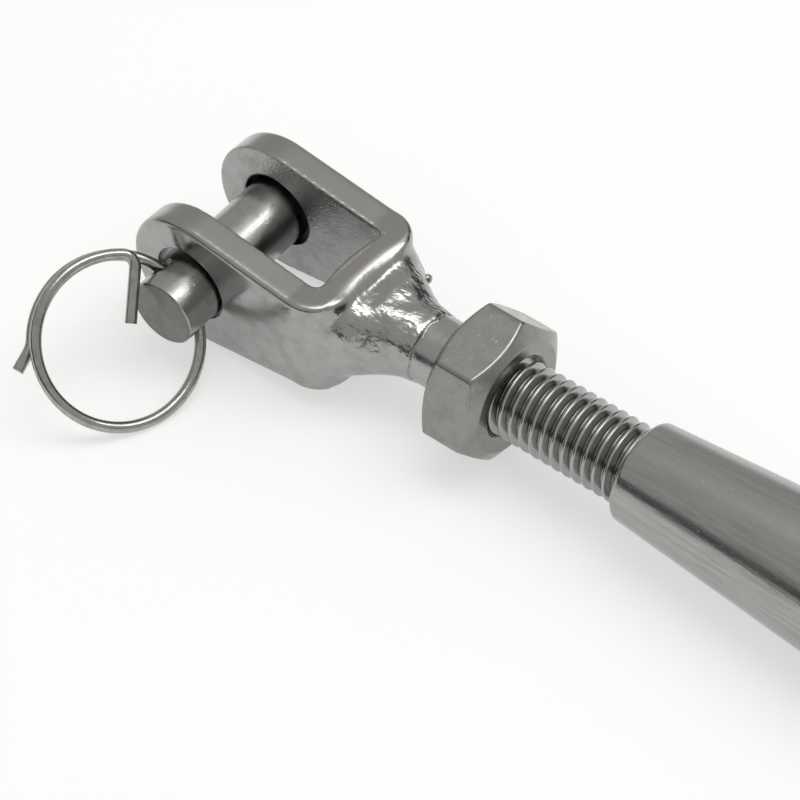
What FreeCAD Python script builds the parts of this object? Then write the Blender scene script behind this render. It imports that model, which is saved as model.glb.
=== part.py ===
"""Shroud adjuster: a closed-body rigging screw with a fork, a clevis pin and a split ring at each end.

Frame: the origin is the centre of the tommy bar hole in the middle of the body, +X runs along the screw
to the far end and +Z is up as the adjuster lies on its forks. Sizes are in millimetres.
"""

import FreeCAD, Part
import math
import os
import re
import Sketcher

Vector = FreeCAD.Vector
Placement = FreeCAD.Placement
Rotation = FreeCAD.Rotation

FULL_TURN = 360
TOLERANCE = 1e-4
COIL_ARCS = 6
VOLUME_MARGIN = 0.01

# Driving dimensions: alias, value, meaning
SIZES = [
    ("body_length", 130, "body tube from end to end"),
    ("body_diameter", 17.2, "outside of the tube between its tapered ends"),
    ("body_wall", 2.3, "wall of the tube between its threaded ends"),
    ("mouth_wall", 1.25, "wall of the tube at its mouth"),
    ("body_taper_length", 31.7, "length of each tapered end"),
    ("body_lip_round", 0.9, "rounding of the mouth's outer edge"),
    ("body_thread_depth", 22, "threaded length inside each mouth"),
    ("tommy_hole_diameter", 6, "cross hole for the turning bar"),
    ("thread_diameter", 9.9, "outside of the stud's thread"),
    ("thread_clearance", 0.05, "gap on each side between a thread and its hole"),
    ("thread_bevel", 0.8, "bevel at both ends of the thread"),
    ("thread_engagement", 40, "length of stud inside the body"),
    ("exposed_thread", 17.7, "thread seen between the locknut and the body"),
    ("shank_relief", 0.5, "plain stretch beside the fork below the thread, each side"),
    ("shank_length", 4.5, "length of the plain stretch"),
    ("nut_across_flats", 17, "locknut between opposite flats"),
    ("nut_height", 8, "locknut from face to face"),
    ("nut_face_diameter", 14.6, "round land that the corner bevels leave"),
    ("nut_bevel_angle", 30, "slope of the corner bevels"),
    ("nut_countersink", 0.6, "bevel at both mouths of the nut's hole"),
    ("nut_turn_angle", 12, "turn of a corner above the horizontal"),
    ("gap_width", 11.8, "clear width between the ears"),
    ("gap_depth", 17.6, "pin axis to the corners of the gap"),
    ("gap_bow_height", 0.7, "rise of the gap's floor at its middle"),
    ("gap_corner_round", 0.9, "rounding of the gap's corners"),
    ("ear_thickness", 4, "thickness of each ear"),
    ("eye_diameter", 18.4, "round end of each ear"),
    ("eye_clearance", 0.675, "gap on each side between the clevis pin and the eyes"),
    ("bridge_thickness", 3.5, "band across the root of the fork"),
    ("bridge_height", 14.2, "height of the band at the root"),
    ("shoulder_round", 4.6, "bend of the band at the fork's shoulders"),
    ("band_edge_round", 0.8, "worn outer edges of the band"),
    ("neck_length", 8.7, "back of the bridge to the weld seam"),
    ("neck_sink", 2.2, "depth at which the neck starts inside the bridge"),
    ("neck_side_step", 1.1, "neck root inside the band's side"),
    ("neck_top_step", 0.5, "neck root below the band's top"),
    ("neck_root_corner", 2.8, "corner rounding of the neck's root"),
    ("neck_waist_run", 6.6, "weld seam back to the waist section"),
    ("neck_waist_side", 2.75, "waist wider than the seam, each side"),
    ("neck_waist_top", 1.3, "waist higher than the seam, each side"),
    ("neck_throat_run", 3.4, "weld seam back to the throat section"),
    ("neck_throat_side", 0.75, "throat wider than the seam, each side"),
    ("neck_throat_top", 0.6, "throat higher than the seam, each side"),
    ("neck_flat", 0.2, "flat left between the corners of the round sections"),
    ("seam_step", 0.1, "neck larger than the shank at the seam, each side"),
    ("pin_diameter", 8.85, "clevis pin"),
    ("pin_head_diameter", 12, "head of the clevis pin"),
    ("pin_head_height", 1.6, "thickness of the head"),
    ("pin_head_gap", 0.45, "end play between the head and the ear"),
    ("pin_edge_bevel", 0.25, "broken edge of the pin's free end"),
    ("pin_head_bevel", 0.5, "bevelled edges of the head"),
    ("pin_drop", 0.25, "pin lying below the centre of the loose eyes"),
    ("pin_lean_angle", 2.2, "lean of the loose pin in its eyes, free end towards the body"),
    ("pin_turn_angle", 45, "turn of the pin's cross hole below the horizontal"),
    ("pin_end_length", 3.7, "cross hole to the pin's free end"),
    ("cross_hole_clearance", 1.025, "gap on each side between the ring's wire and its hole"),
    ("cross_hole_standoff", 1.95, "outer face of the ear to the cross hole"),
    ("ring_wire_diameter", 1.45, "spring wire of the split ring"),
    ("ring_radius", 10.25, "centre line of the wire"),
    ("ring_hole_sag", 0.65, "wire at mid hole beyond the hole's axis"),
    ("ring_pitch", 1.75, "wire to wire where the turns overlap"),
    ("ring_lead_angle", 306, "coil ahead of the cross hole"),
    ("ring_trail_angle", 145, "coil behind the cross hole"),
    ("ring_swing_angle", 15.5, "swing of the ring out of the pin's axis"),
    ("ring_slip_angle", 4.1, "turn of the loose ring in its own plane"),
    ("hook_bend_radius", 1.5, "bend of the leg that turns inward"),
    ("hook_bend_angle", 93, "turn of that bend"),
    ("hook_leg_length", 6.6, "straight end after that bend"),
    ("flare_bend_radius", 3, "bend of the leg that flares outward"),
    ("flare_bend_angle", 29, "turn of that bend"),
    ("flare_leg_length", 2.6, "straight end after that bend"),
]

# Sizes that follow from the driving ones: alias, formula
WORKED_OUT = [
    ("band_width", "=gap_width + 2 * ear_thickness"),
    ("bridge_back", "=gap_depth + bridge_thickness"),
    ("level_start", "=bridge_back - shoulder_round - band_edge_round"),
    ("seam_place", "=bridge_back + neck_length"),
    ("nut_place", "=seam_place + shank_length"),
    ("mouth_place", "=nut_place + nut_height + exposed_thread"),
    ("stud_end", "=mouth_place + thread_engagement"),
    ("pin_span", "=2 * mouth_place + body_length"),
    ("thread_hole_diameter", "=thread_diameter + 2 * thread_clearance"),
    ("shank_diameter", "=thread_diameter - 2 * shank_relief"),
    ("body_bore", "=body_diameter - 2 * body_wall"),
    ("body_end_diameter", "=thread_hole_diameter + 2 * mouth_wall"),
    ("eye_bore", "=pin_diameter + 2 * eye_clearance"),
    ("cross_hole_diameter", "=ring_wire_diameter + 2 * cross_hole_clearance"),
    ("neck_end", "=shank_diameter / 2 + seam_step"),
    ("pin_grip", "=band_width + cross_hole_standoff + pin_head_gap"),
    ("cross_hole_reach", "=band_width / 2 + cross_hole_standoff"),
]

doc = FreeCAD.newDocument("shroud_adjuster")
sheet = doc.addObject("Spreadsheet::Sheet", "Sizes")


def fill_sheet():
    """Write every size with its alias and meaning, then the sizes worked out from them."""
    rows = SIZES + [(alias, formula, "worked out") for alias, formula in WORKED_OUT]
    for row, (alias, content, meaning) in enumerate(rows, start=1):
        sheet.set(f"A{row}", alias)
        sheet.set(f"B{row}", str(content))
        sheet.set(f"C{row}", meaning)
        sheet.setAlias(f"B{row}", alias)
    doc.recompute()


def size(alias):
    """Value of one named size."""
    return float(sheet.get(alias))


def new_body(label):
    """Start a solid with its own label."""
    body = doc.addObject("PartDesign::Body", label)
    body.Label = label
    return body


def new_sketch(body, name, plane, offset=None):
    """Sketch on one of the body's origin planes, moved along the plane's normal by a formula."""
    sketch = body.newObject("Sketcher::SketchObject", f"{body.Name}_{name}")
    support = next(item for item in body.Origin.OriginFeatures if item.Role == plane)
    sketch.AttachmentSupport = [(support, "")]
    sketch.MapMode = "FlatFace"
    if offset:
        sketch.setExpression("AttachmentOffset.Base.z", offset)
    return sketch


def worth(formula):
    """Number that a formula on the sheet's aliases gives."""
    return float(sheet.evalExpression(formula))


def named(formula):
    """The same formula as another object has to write it."""
    aliases = {alias for alias, *_ in SIZES + WORKED_OUT}

    def full(word):
        return f"<<Sizes>>.{word[0]}" if word[0] in aliases else word[0]

    return re.sub(r"\b[a-z]\w*", full, formula)


def bind(target, path, formula):
    """Tie a property to a formula on the sheet."""
    target.setExpression(path, named(formula))


def hold(sketch, kind, geometry, point, formula):
    """Fix one coordinate of a point, measured from the sketch's origin."""
    constraint = Sketcher.Constraint(kind, -1, 1, geometry, point, worth(formula))
    bind(sketch, f"Constraints[{sketch.addConstraint(constraint)}]", formula)


def hold_point(sketch, geometry, point, across, up):
    """Fix both coordinates of a point."""
    hold(sketch, "DistanceX", geometry, point, across)
    hold(sketch, "DistanceY", geometry, point, up)


def hold_radius(sketch, geometry, formula):
    """Fix the radius of an arc or a circle."""
    constraint = Sketcher.Constraint("Radius", geometry, worth(formula))
    bind(sketch, f"Constraints[{sketch.addConstraint(constraint)}]", formula)


def polygon(sketch, corners):
    """Closed outline of straight edges through corners, each a pair of formulas."""
    spots = [Vector(worth(across), worth(up), 0) for across, up in corners]
    first = sketch.GeometryCount
    for start, end in zip(spots, spots[1:] + spots[:1]):
        sketch.addGeometry(Part.LineSegment(start, end))
    for index, (across, up) in enumerate(corners):
        previous = first + (index - 1) % len(corners)
        sketch.addConstraint(Sketcher.Constraint("Coincident", previous, 2, first + index, 1))
        hold_point(sketch, first + index, 1, across, up)


def circle(sketch, radius):
    """Circle about the sketch's origin."""
    index = sketch.addGeometry(Part.Circle(Vector(), Vector(0, 0, 1), worth(radius)))
    sketch.addConstraint(Sketcher.Constraint("Coincident", index, 3, -1, 1))
    hold_radius(sketch, index, radius)


def feature(body, kind, name, profile=None):
    """Add a feature to the body, on a sketch where it has one."""
    item = body.newObject(f"PartDesign::{kind}", f"{body.Name}_{name}")
    if profile:
        item.Profile = profile
    return item


def turned(body, name, outlines, axis="H_Axis", kind="Revolution"):
    """Revolve upright outlines a full turn about an axis of their sketch."""
    sketch = new_sketch(body, f"{name}_profile", "XZ_Plane")
    for outline in outlines:
        polygon(sketch, outline)
    item = feature(body, kind, name, sketch)
    item.ReferenceAxis = (sketch, [axis])
    item.Angle = FULL_TURN
    return item


def padded(body, name, sketch, length, symmetric=False):
    """Extrude a sketch along its normal."""
    item = feature(body, "Pad", name, sketch)
    item.SideType = "Symmetric" if symmetric else "One side"
    bind(item, "Length", length)
    return item


def through_cut(body, name, sketch):
    """Cut a sketch through the whole body both ways, and make sure that it removed material."""
    doc.recompute()
    before = body.Shape.Volume
    item = feature(body, "Pocket", name, sketch)
    item.SideType = "Symmetric"
    item.Type = "ThroughAll"
    doc.recompute()
    if body.Shape.Volume >= before:
        raise RuntimeError(f"{item.Name} removes nothing")
    return item


def dressed(body, kind, name, amount, chosen):
    """Fillet or chamfer the edges of the body's last feature that a test picks."""
    doc.recompute()
    base = body.Tip
    edges = [f"Edge{index}" for index, edge in enumerate(base.Shape.Edges, start=1) if chosen(edge)]
    item = feature(body, kind, name)
    item.Base = (base, edges)
    bind(item, "Radius" if kind == "Fillet" else "Size", amount)
    return item


def near(value, target):
    """Equal within the modelling tolerance."""
    return abs(value - target) < TOLERANCE


def runs_along(edge, axis):
    """True for a straight edge parallel to an axis."""
    return isinstance(edge.Curve, Part.Line) and near(abs(edge.Curve.Direction.dot(axis)), 1)


def is_rim(edge, axis_place, radius):
    """True for a full circle about the X axis at a given place and radius."""
    return edge.Closed and isinstance(edge.Curve, Part.Circle) and near(
        edge.Curve.Center.x, axis_place) and near(edge.Curve.Radius, radius)


def body_tube():
    """Drawn tube with tapered, internally threaded ends and a cross hole for a turning bar."""
    body = new_body("body_tube")
    half, taper, shoulder = "body_length / 2", "body_taper_length", "(body_bore - thread_hole_diameter) / 2"
    thread_end = "(body_length / 2 - body_thread_depth)"
    outline = [(f"-{half}", "body_end_diameter / 2"), (f"-{half} + {taper}", "body_diameter / 2"),
               (f"{half} - {taper}", "body_diameter / 2"), (half, "body_end_diameter / 2"),
               (half, "thread_hole_diameter / 2"), (thread_end, "thread_hole_diameter / 2"),
               (f"{thread_end} - {shoulder}", "body_bore / 2"),
               (f"-{thread_end} + {shoulder}", "body_bore / 2"),
               (f"-{thread_end}", "thread_hole_diameter / 2"), (f"-{half}", "thread_hole_diameter / 2")]
    turned(body, "barrel", [outline])
    mouth = size("body_length") / 2
    dressed(body, "Fillet", "lips", "body_lip_round",
            lambda edge: is_rim(edge, mouth, size("body_end_diameter") / 2)
            or is_rim(edge, -mouth, size("body_end_diameter") / 2))
    hole = new_sketch(body, "tommy_hole", "XY_Plane")
    circle(hole, "tommy_hole_diameter / 2")
    through_cut(body, "cross_hole", hole)
    return body


def band_side(body):
    """Side outline of the band: a round eye, tapering ears and an upright back."""
    sketch = new_sketch(body, "side", "XZ_Plane")
    radius, root = size("eye_diameter") / 2, size("bridge_height") / 2
    reach, back = size("level_start"), size("bridge_back")
    lift = math.atan2(radius - root, reach)
    start = math.pi / 2 - lift
    eye = sketch.addGeometry(Part.ArcOfCircle(
        Part.Circle(Vector(), Vector(0, 0, 1), radius), start, 2 * math.pi - start))
    leave = Vector(radius * math.cos(start), radius * math.sin(start), 0)
    spots = [leave, Vector(reach, root, 0), Vector(back, root, 0), Vector(back, -root, 0),
             Vector(reach, -root, 0), Vector(leave.x, -leave.y, 0)]
    edges = [sketch.addGeometry(Part.LineSegment(one, two)) for one, two in zip(spots, spots[1:])]
    sketch.addConstraint(Sketcher.Constraint("Coincident", eye, 3, -1, 1))
    hold_radius(sketch, eye, "eye_diameter / 2")
    sketch.addConstraint(Sketcher.Constraint("Tangent", eye, 1, edges[0], 1))
    for one, two in zip(edges, edges[1:]):
        sketch.addConstraint(Sketcher.Constraint("Coincident", one, 2, two, 1))
    sketch.addConstraint(Sketcher.Constraint("Tangent", edges[-1], 2, eye, 2))
    hold_point(sketch, edges[1], 1, "level_start", "bridge_height / 2")
    hold_point(sketch, edges[2], 1, "bridge_back", "bridge_height / 2")
    hold_point(sketch, edges[3], 1, "bridge_back", "-bridge_height / 2")
    hold_point(sketch, edges[4], 1, "level_start", "-bridge_height / 2")
    return sketch


def gap_plan(body):
    """Plan of the gap between the ears: open at the eyes, with a slightly bowed floor."""
    sketch = new_sketch(body, "gap", "XY_Plane")
    mouth, floor, side = -size("eye_diameter"), size("gap_depth"), size("gap_width") / 2
    spots = [Vector(floor, side, 0), Vector(mouth, side, 0), Vector(mouth, -side, 0), Vector(floor, -side, 0)]
    walls = [sketch.addGeometry(Part.LineSegment(one, two)) for one, two in zip(spots, spots[1:])]
    crown = Vector(floor - size("gap_bow_height"), 0, 0)
    bow = sketch.addGeometry(Part.Arc(spots[3], crown, spots[0]))
    for one, two in zip(walls, walls[1:]):
        sketch.addConstraint(Sketcher.Constraint("Coincident", one, 2, two, 1))
    low_end, high_end = sorted((1, 2), key=lambda end: sketch.getPoint(bow, end).y)
    sketch.addConstraint(Sketcher.Constraint("Coincident", walls[2], 2, bow, low_end))
    sketch.addConstraint(Sketcher.Constraint("Coincident", bow, high_end, walls[0], 1))
    hold_point(sketch, walls[0], 1, "gap_depth", "gap_width / 2")
    hold_point(sketch, walls[1], 1, "-eye_diameter", "gap_width / 2")
    hold_point(sketch, walls[2], 1, "-eye_diameter", "-gap_width / 2")
    hold_point(sketch, walls[2], 2, "gap_depth", "-gap_width / 2")
    hold_radius(sketch, bow, "gap_width * gap_width / (8 * gap_bow_height) + gap_bow_height / 2")
    return sketch


def neck_section(body, name, place, side, top, corner):
    """Rounded rectangle across the neck at one place along it."""
    sketch = new_sketch(body, name, "YZ_Plane", named(place))
    inner_side, inner_top = f"({side} - {corner})", f"({top} - {corner})"
    ends = [(side, f"-{inner_top}"), (side, inner_top), (inner_side, top), (f"-{inner_side}", top),
            (f"-{side}", inner_top), (f"-{side}", f"-{inner_top}"), (f"-{inner_side}", f"-{top}"),
            (inner_side, f"-{top}")]
    spots = [Vector(worth(across), worth(up), 0) for across, up in ends]
    radius, middle = worth(corner), math.sqrt(0.5)
    first = sketch.GeometryCount
    for start, end, after in zip(spots[::2], spots[1::2], spots[2::2] + spots[:1]):
        sketch.addGeometry(Part.LineSegment(start, end))
        outward = Vector(math.copysign(middle, end.x), math.copysign(middle, end.y), 0)
        centre = Vector(math.copysign(worth(inner_side), end.x), math.copysign(worth(inner_top), end.y), 0)
        sketch.addGeometry(Part.Arc(end, centre + outward * radius, after))
    for index, (across, up) in enumerate(ends):
        wall, point = first + 2 * (index // 2), 1 + index % 2
        hold_point(sketch, wall, point, across, up)
    for index in range(len(ends) // 2):
        wall, arc, following = first + 2 * index, first + 2 * index + 1, first + (2 * index + 2) % len(ends)
        sketch.addConstraint(Sketcher.Constraint("Coincident", wall, 2, arc, 1))
        sketch.addConstraint(Sketcher.Constraint("Coincident", arc, 2, following, 1))
        hold_radius(sketch, arc, corner)
    return sketch


def fork_head(label):
    """Forged fork: a band bent into two eyed ears, with a neck that flares from the shank to the band."""
    body = new_body(label)
    padded(body, "band", band_side(body), "band_width", symmetric=True)
    back, side = size("bridge_back"), size("band_width") / 2
    along_y, along_z = Vector(0, 1, 0), Vector(0, 0, 1)
    dressed(body, "Fillet", "shoulders", "shoulder_round",
            lambda edge: runs_along(edge, along_z) and near(edge.BoundBox.XMax, back))
    dressed(body, "Fillet", "worn_edges", "band_edge_round",
            lambda edge: not runs_along(edge, along_z)
            and not (runs_along(edge, along_y) and not near(edge.BoundBox.XMax, back)))
    through_cut(body, "gap_cut", gap_plan(body))
    floor, wall = size("gap_depth"), size("gap_width") / 2
    dressed(body, "Fillet", "gap_corners", "gap_corner_round",
            lambda edge: runs_along(edge, along_z) and near(edge.BoundBox.XMax, floor)
            and near(abs(edge.BoundBox.YMax), wall))
    eyes = new_sketch(body, "eyes", "XZ_Plane")
    circle(eyes, "eye_bore / 2")
    through_cut(body, "eye_holes", eyes)
    root_side = "(band_width / 2 - neck_side_step)"
    root_top = "(bridge_height / 2 - neck_top_step)"
    waist_side, waist_top = "(neck_end + neck_waist_side)", "(neck_end + neck_waist_top)"
    throat_side, throat_top = "(neck_end + neck_throat_side)", "(neck_end + neck_throat_top)"
    sections = [
        neck_section(body, "root", "bridge_back - neck_sink", root_side, root_top, "neck_root_corner"),
        neck_section(body, "waist", "seam_place - neck_waist_run", waist_side, waist_top,
                     f"({waist_top} - neck_flat)"),
        neck_section(body, "throat", "seam_place - neck_throat_run", throat_side, throat_top,
                     f"({throat_top} - neck_flat)"),
        neck_section(body, "seam", "seam_place", "neck_end", "neck_end", "(neck_end - neck_flat)"),
    ]
    neck = feature(body, "AdditiveLoft", "neck", sections[0])
    neck.Sections = sections[1:]
    doc.recompute()
    return body


def threaded_stud(label):
    """Stud with a plain shank beside the weld and a bevelled thread."""
    body = new_body(label)
    turned(body, "bar", [[
        ("seam_place", "0"), ("seam_place", "shank_diameter / 2"),
        ("nut_place - (thread_diameter - shank_diameter) / 2", "shank_diameter / 2"),
        ("nut_place", "thread_diameter / 2"),
        ("stud_end - thread_bevel", "thread_diameter / 2"),
        ("stud_end", "thread_diameter / 2 - thread_bevel"), ("stud_end", "0")]])
    return body


def locknut(label):
    """Hexagon nut with 30 degree corner bevels on both faces and a countersunk hole."""
    body = new_body(label)
    corner, flat = "nut_across_flats / sqrt(3)", "nut_across_flats / 2"
    hexagon = new_sketch(body, "hexagon", "YZ_Plane", named("nut_place"))
    polygon(hexagon, [(corner, "0"), (f"{corner} / 2", flat), (f"-{corner} / 2", flat),
                      (f"-{corner}", "0"), (f"-{corner} / 2", f"-{flat}"), (f"{corner} / 2", f"-{flat}")])
    circle(hexagon, "thread_hole_diameter / 2")
    padded(body, "block", hexagon, "nut_height")
    land, rim = "nut_face_diameter / 2", "nut_across_flats"
    bevel = f"({rim} - {land}) * tan(nut_bevel_angle * 1deg)"
    turned(body, "corner_bevels", [
        [("nut_place", land), ("nut_place", rim), (f"nut_place + {bevel}", rim)],
        [("nut_place + nut_height", land), ("nut_place + nut_height", rim),
         (f"nut_place + nut_height - {bevel}", rim)]], kind="Groove")
    hole = size("thread_hole_diameter") / 2
    faces = (size("nut_place"), size("nut_place") + size("nut_height"))
    dressed(body, "Chamfer", "countersinks", "nut_countersink",
            lambda edge: any(is_rim(edge, face, hole) for face in faces))
    return body


def clevis_pin(label):
    """Headed pin along its own Z axis, with the split ring's cross hole along its X axis at the origin."""
    body = new_body(label)
    shaft, head, edge, top = "pin_diameter / 2", "pin_head_diameter / 2", "pin_edge_bevel", "pin_head_bevel"
    turned(body, "shaft", [[
        ("0", "-pin_end_length"), (f"{shaft} - {edge}", "-pin_end_length"),
        (shaft, f"-pin_end_length + {edge}"), (shaft, "pin_grip"), (f"{head} - {top}", "pin_grip"),
        (head, f"pin_grip + {top}"), (head, f"pin_grip + pin_head_height - {top}"),
        (f"{head} - {top}", "pin_grip + pin_head_height"), ("0", "pin_grip + pin_head_height")]],
        axis="V_Axis")
    hole = new_sketch(body, "ring_hole", "YZ_Plane")
    circle(hole, "cross_hole_diameter / 2")
    through_cut(body, "cross_hole", hole)
    return body


def coil_spot(turn):
    """Point of the ring's coil, with the turn in degrees counted from the middle of the cross hole."""
    radius, angle = size("ring_radius"), math.radians(turn)
    centre = Vector(0, 0, size("ring_hole_sag") - radius)
    advance = size("ring_pitch") * turn / FULL_TURN
    return centre + Vector(-radius * math.sin(angle), advance, radius * math.cos(angle))


def coil_heading(turn):
    """Unit direction of the wire along the coil at a turn."""
    radius, angle = size("ring_radius"), math.radians(turn)
    climb = size("ring_pitch") / (2 * math.pi)
    return Vector(-radius * math.cos(angle), climb, -radius * math.sin(angle)).normalize()


def coil_inward(turn):
    """Unit direction from the wire towards the middle of the coil at a turn."""
    angle = math.radians(turn)
    return Vector(math.sin(angle), 0, -math.cos(angle))


def bent_leg(name, start, heading, side):
    """Arc that leaves a point along a heading and turns to one side, and the straight leg after it."""
    radius, bend = size(f"{name}_bend_radius"), math.radians(size(f"{name}_bend_angle"))

    def along(angle):
        return start + heading * (radius * math.sin(angle)) + side * (radius * (1 - math.cos(angle)))

    ending = heading * math.cos(bend) + side * math.sin(bend)
    arc = Part.Arc(start, along(bend / 2), along(bend)).toShape()
    leg = Part.LineSegment(along(bend), along(bend) + ending * size(f"{name}_leg_length")).toShape()
    return arc, leg


def split_ring(label):
    """Overlapping ring of round spring wire, one end hooked inward and the other flared outward."""
    first, last = -size("ring_lead_angle"), size("ring_trail_angle")
    step = (last - first) / COIL_ARCS
    hook_bend, hook_leg = bent_leg("hook", coil_spot(first), -coil_heading(first), coil_inward(first))
    flare_bend, flare_leg = bent_leg("flare", coil_spot(last), coil_heading(last), -coil_inward(last))
    coil = [Part.Arc(*(coil_spot(first + step * (index + share)) for share in (0, 0.5, 1))).toShape()
            for index in range(COIL_ARCS)]
    path = Part.Wire([hook_leg, hook_bend] + coil + [flare_bend, flare_leg])
    tip = hook_leg.valueAt(hook_leg.LastParameter)
    wire = Part.makeCircle(size("ring_wire_diameter") / 2, tip, hook_leg.tangentAt(hook_leg.LastParameter))
    ring = doc.addObject("Part::Feature", label)
    ring.Label = label
    ring.Shape = path.makePipeShell([Part.Wire([wire])], True, True)
    expected = path.Length * math.pi * size("ring_wire_diameter") ** 2 / 4
    if abs(ring.Shape.Volume / expected - 1) > VOLUME_MARGIN:
        raise RuntimeError(f"{label} has volume {ring.Shape.Volume:.2f} for {expected:.2f}")
    return ring


def place_end(prefix, turn):
    """Make the pieces of one end and place them, the far end turned half round the upright axis."""
    end = Placement(Vector(-size("pin_span") / 2, 0, 0), Rotation())
    end = Placement(Vector(), Rotation(Vector(0, 0, 1), turn)).multiply(end)
    spun = Placement(Vector(), Rotation(Vector(1, 0, 0), size("nut_turn_angle")))
    leaning, turned_down = Rotation(Vector(0, 0, 1), size("pin_lean_angle")), size("pin_turn_angle")
    lying = leaning.multiply(Rotation(Vector(0, 1, 0), turned_down)).multiply(Rotation(Vector(1, 0, 0), -90))
    pin = Placement(Vector(0, 0, -size("pin_drop")), lying)
    pin = pin.multiply(Placement(Vector(0, 0, -size("cross_hole_reach")), Rotation()))
    swinging = Rotation(Vector(1, 0, 0), size("ring_swing_angle"))
    swung = Placement(Vector(), swinging.multiply(Rotation(Vector(0, 1, 0), size("ring_slip_angle"))))
    pieces = [(fork_head(f"{prefix}_fork_head"), end),
              (threaded_stud(f"{prefix}_threaded_stud"), end),
              (locknut(f"{prefix}_locknut"), end.multiply(spun)),
              (clevis_pin(f"{prefix}_clevis_pin"), end.multiply(pin)),
              (split_ring(f"{prefix}_split_ring"), end.multiply(pin).multiply(swung))]
    for piece, placement in pieces:
        piece.Placement = placement
    return [piece for piece, _ in pieces]


def check_document(pieces):
    """Stop on any failed object or unsound solid."""
    doc.recompute()
    for item in doc.Objects:
        if "Invalid" in item.State or "Error" in item.State:
            raise RuntimeError(f"{item.Name} failed: {item.State}")
    for piece in pieces:
        shape = piece.Shape
        if shape.isNull() or not shape.isValid() or not shape.Solids:
            raise RuntimeError(f"{piece.Label} is not a sound solid")


def main():
    """Build every piece, check it and write it."""
    fill_sheet()
    pieces = [body_tube()] + place_end("near", 0) + place_end("far", 180)
    check_document(pieces)
    os.makedirs("parts", exist_ok=True)
    for piece in pieces:
        piece.Shape.exportStep(f"parts/{piece.Label}.step")
        box = piece.Shape.BoundBox
        print(f"{piece.Label}: volume {piece.Shape.Volume:.1f}, solids {len(piece.Shape.Solids)}, "
              f"x {box.XMin:.2f} to {box.XMax:.2f}, y {box.YMin:.2f} to {box.YMax:.2f}, "
              f"z {box.ZMin:.2f} to {box.ZMax:.2f}")


main()
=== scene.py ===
import logging
import math
from collections.abc import Callable
from dataclasses import dataclass
from enum import Enum, IntEnum

import bmesh
import bpy
from mathutils import Matrix, Vector, noise


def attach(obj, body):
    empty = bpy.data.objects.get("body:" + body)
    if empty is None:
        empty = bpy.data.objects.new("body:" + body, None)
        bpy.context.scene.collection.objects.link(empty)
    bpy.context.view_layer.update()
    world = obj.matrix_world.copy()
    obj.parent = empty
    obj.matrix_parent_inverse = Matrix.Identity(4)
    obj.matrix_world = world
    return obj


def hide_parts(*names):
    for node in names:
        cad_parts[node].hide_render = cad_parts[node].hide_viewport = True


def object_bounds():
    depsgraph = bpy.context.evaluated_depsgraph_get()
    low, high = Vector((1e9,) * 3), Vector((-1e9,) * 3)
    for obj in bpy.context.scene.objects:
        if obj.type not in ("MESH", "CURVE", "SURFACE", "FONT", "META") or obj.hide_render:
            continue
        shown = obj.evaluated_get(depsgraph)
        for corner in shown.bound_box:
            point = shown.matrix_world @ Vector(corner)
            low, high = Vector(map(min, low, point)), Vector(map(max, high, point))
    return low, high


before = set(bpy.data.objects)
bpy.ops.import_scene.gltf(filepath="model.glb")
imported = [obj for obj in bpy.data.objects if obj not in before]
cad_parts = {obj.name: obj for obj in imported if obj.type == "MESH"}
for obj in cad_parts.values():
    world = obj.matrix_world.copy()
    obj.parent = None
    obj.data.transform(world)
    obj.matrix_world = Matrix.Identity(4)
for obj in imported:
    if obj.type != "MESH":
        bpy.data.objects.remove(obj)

LOG = logging.getLogger("shroud_adjuster")
CAD_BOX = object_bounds()

# Fields hold millimetres and degrees, except where a docstring says otherwise.
MM = 0.001

Triple = tuple[float, float, float]
Source = bpy.types.Node | bpy.types.NodeSocket

# Where the neck is welded to the stud, along the screw from the clevis pin.
SEAM_PLACE = 29.8
# Points nearer to each other than this are one point.
SAME_POINT = 0.001
# The axis of the screw, about which studs, nuts and seams are spun.
ABOUT_SCREW = {"cent": (0.0, 0.0, 0.0), "axis": (1.0, 0.0, 0.0)}
# How a map range node eases in and out.
EASED = {"interpolation_type": "SMOOTHSTEP"}
# A mix node's sockets share their names, so those for colours go by number: share, both colours, result.
SHARE, FIRST, SECOND, MIXED = 0, 6, 7, 2


class Hand(Enum):
    """Which way a thread winds."""

    RIGHT = 1
    LEFT = -1


class NutRule(IntEnum):
    """What places a point of the locknut."""

    END_FACE = 0
    HEXAGON = 1
    HOLE = 2


def linear(shade: str) -> tuple[float, float, float, float]:
    """Turn an sRGB hex colour to linear light, by the sRGB standard's own numbers.

    Args:
        shade: Six hex digits after a hash.

    Returns:
        Red, green, blue and an alpha of one.
    """
    parts = [int(shade[start:start + 2], 16) / 255 for start in (1, 3, 5)]
    turned = [part / 12.92 if part <= 0.04045 else ((part + 0.055) / 1.055) ** 2.4 for part in parts]
    return (*turned, 1.0)


def held(value: float) -> float:
    """Hold a value between 0 and 1."""
    return min(max(value, 0.0), 1.0)


def spread(start: float, end: float, count: int) -> list[float]:
    """Evenly spaced values from one to another, both included."""
    return [start + (end - start) * index / (count - 1) for index in range(count)]


def soft_least(one: float, other: float, reach: float) -> float:
    """Smaller of two distances, with the corner where they cross rounded.

    Args:
        one: First distance.
        other: Second distance.
        reach: How near they come before the rounding starts.

    Returns:
        The smaller one, or a little less near the corner.
    """
    share = max(reach - abs(one - other), 0.0) / reach
    return min(one, other) - share * share * reach / 4


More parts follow.
